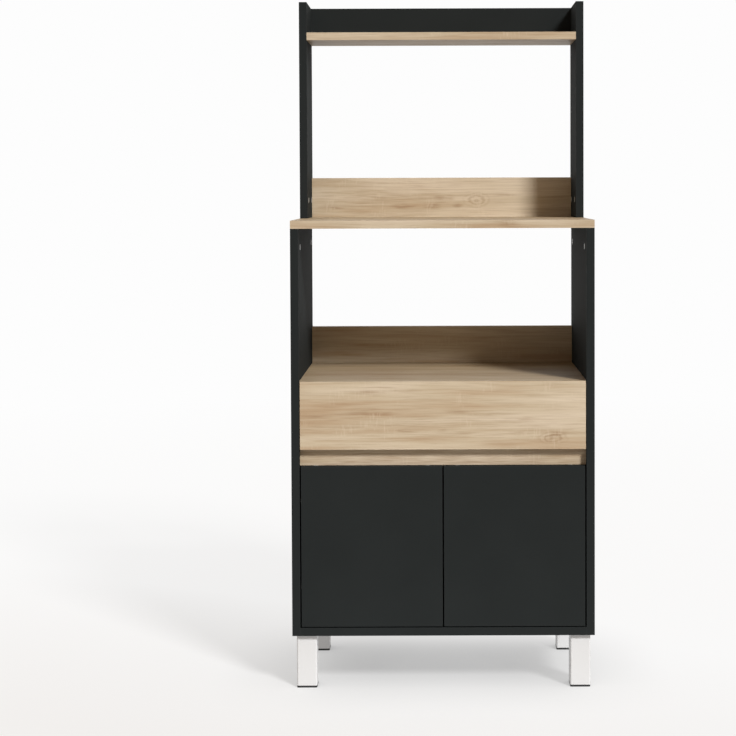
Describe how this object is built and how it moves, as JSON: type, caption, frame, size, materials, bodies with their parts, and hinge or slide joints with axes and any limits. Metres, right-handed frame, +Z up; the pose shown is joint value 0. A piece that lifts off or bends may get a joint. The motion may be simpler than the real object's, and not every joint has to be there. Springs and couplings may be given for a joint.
{
  "type": "microwave stand with drawer",
  "caption": "Tall narrow kitchen cabinet on square legs with an open microwave niche, a drawer, inset doors below and a shallow shelf tower on the worktop.",
  "frame": {"origin": "on the floor under the middle of the worktop", "axes": "+X to the viewer's right when facing the doors, +Y to the rear, +Z up; the doors and drawer face -Y"},
  "size_m": [0.6, 0.4, 1.386],
  "materials": {
    "oak_decor": "light oak melamine, horizontal grain, satin",
    "anthracite_decor": "matt anthracite melamine",
    "grey_decor": "grey foil on chipboard",
    "hardboard": "grey lacquered hardboard",
    "beech": "raw beech",
    "white_steel": "white powder coat",
    "black_plastic": "moulded, matt",
    "clear_plastic": "soft clear bumper",
    "coated_steel": "cream epoxy coat",
    "roller_plastic": "white acetal",
    "zinc": "bright zinc",
    "nickel": "nickel plate"
  },
  "bodies": {
    "carcass": {"side_panel_left": "anthracite_decor", "side_panel_right": "anthracite_decor", "base_panel": "anthracite_decor", "microwave_shelf": "oak_decor", "grip_rail": "oak_decor", "lower_upstand": "oak_decor", "worktop": "oak_decor", "back_panel": "hardboard", "tower_upright_left": "anthracite_decor", "tower_upright_right": "anthracite_decor", "upper_upstand": "oak_decor", "top_shelf": "oak_decor", "top_rail": "anthracite_decor", "back_nails": "zinc", "cam_locks": "zinc", "cam_bolts": "zinc", "dowels": "beech", "leg_front_left": "white_steel", "leg_front_right": "white_steel", "leg_rear_left": "white_steel", "leg_rear_right": "white_steel", "leg_pads": "black_plastic", "leg_bolts": "zinc", "leg_inserts": "zinc", "hinge_arm_left_lower": "nickel", "hinge_arm_left_upper": "nickel", "hinge_arm_right_lower": "nickel", "hinge_arm_right_upper": "nickel", "hinge_plates_left": "nickel", "hinge_plates_right": "nickel", "hinge_plate_screws": "nickel", "door_bumpers": "clear_plastic", "cabinet_rail_left": "coated_steel", "cabinet_rail_right": "coated_steel", "cabinet_rail_screws": "zinc"},
    "door_left": {"door_left": "anthracite_decor", "hinge_cup_left_lower": "nickel", "hinge_cup_left_upper": "nickel", "hinge_pins_left": "nickel", "hinge_cup_screws_left": "nickel"},
    "door_right": {"door_right": "anthracite_decor", "hinge_cup_right_lower": "nickel", "hinge_cup_right_upper": "nickel", "hinge_pins_right": "nickel", "hinge_cup_screws_right": "nickel"},
    "drawer": {"drawer_front": "oak_decor", "drawer_side_left": "grey_decor", "drawer_side_right": "grey_decor", "drawer_back": "grey_decor", "drawer_bottom": "hardboard", "drawer_cam_locks": "zinc", "drawer_cam_bolts": "zinc", "drawer_back_screws": "zinc", "drawer_rail_left": "coated_steel", "drawer_rail_right": "coated_steel", "drawer_rail_screws": "zinc"},
    "cabinet_roller_left": {"cabinet_roller_left": "roller_plastic"},
    "drawer_roller_left": {"drawer_roller_left": "roller_plastic"},
    "cabinet_roller_right": {"cabinet_roller_right": "roller_plastic"},
    "drawer_roller_right": {"drawer_roller_right": "roller_plastic"}
  },
  "joints": [
    {"name": "door_left_hinge", "type": "hinge", "parent": "carcass", "child": "door_left", "pos_m": [-0.271, -0.1925, 0.285], "axis": [0, 0, -1], "range_deg": [0, 95]},
    {"name": "door_right_hinge", "type": "hinge", "parent": "carcass", "child": "door_right", "pos_m": [0.271, -0.1925, 0.285], "axis": [0, 0, 1], "range_deg": [0, 95]},
    {"name": "drawer_slide", "type": "slide", "parent": "carcass", "child": "drawer", "axis": [0, -1, 0], "range_m": [0, 0.26]},
    {"name": "cabinet_roller_left_spin", "type": "hinge", "parent": "carcass", "child": "cabinet_roller_left", "pos_m": [-0.278, -0.168, 0.489], "axis": [1, 0, 0], "continuous": true},
    {"name": "drawer_roller_left_spin", "type": "hinge", "parent": "drawer", "child": "drawer_roller_left", "pos_m": [-0.278, 0.154, 0.489], "axis": [1, 0, 0], "continuous": true},
    {"name": "cabinet_roller_right_spin", "type": "hinge", "parent": "carcass", "child": "cabinet_roller_right", "pos_m": [0.278, -0.168, 0.489], "axis": [1, 0, 0], "continuous": true},
    {"name": "drawer_roller_right_spin", "type": "hinge", "parent": "drawer", "child": "drawer_roller_right", "pos_m": [0.278, 0.154, 0.489], "axis": [1, 0, 0], "continuous": true}
  ],
  "couplings": [
    {"joint": "cabinet_roller_left_spin", "follows": "drawer_slide", "rad_per_m": 107.53},
    {"joint": "drawer_roller_left_spin", "follows": "drawer_slide", "rad_per_m": 107.53},
    {"joint": "cabinet_roller_right_spin", "follows": "drawer_slide", "rad_per_m": 107.53},
    {"joint": "drawer_roller_right_spin", "follows": "drawer_slide", "rad_per_m": 107.53}
  ]
}
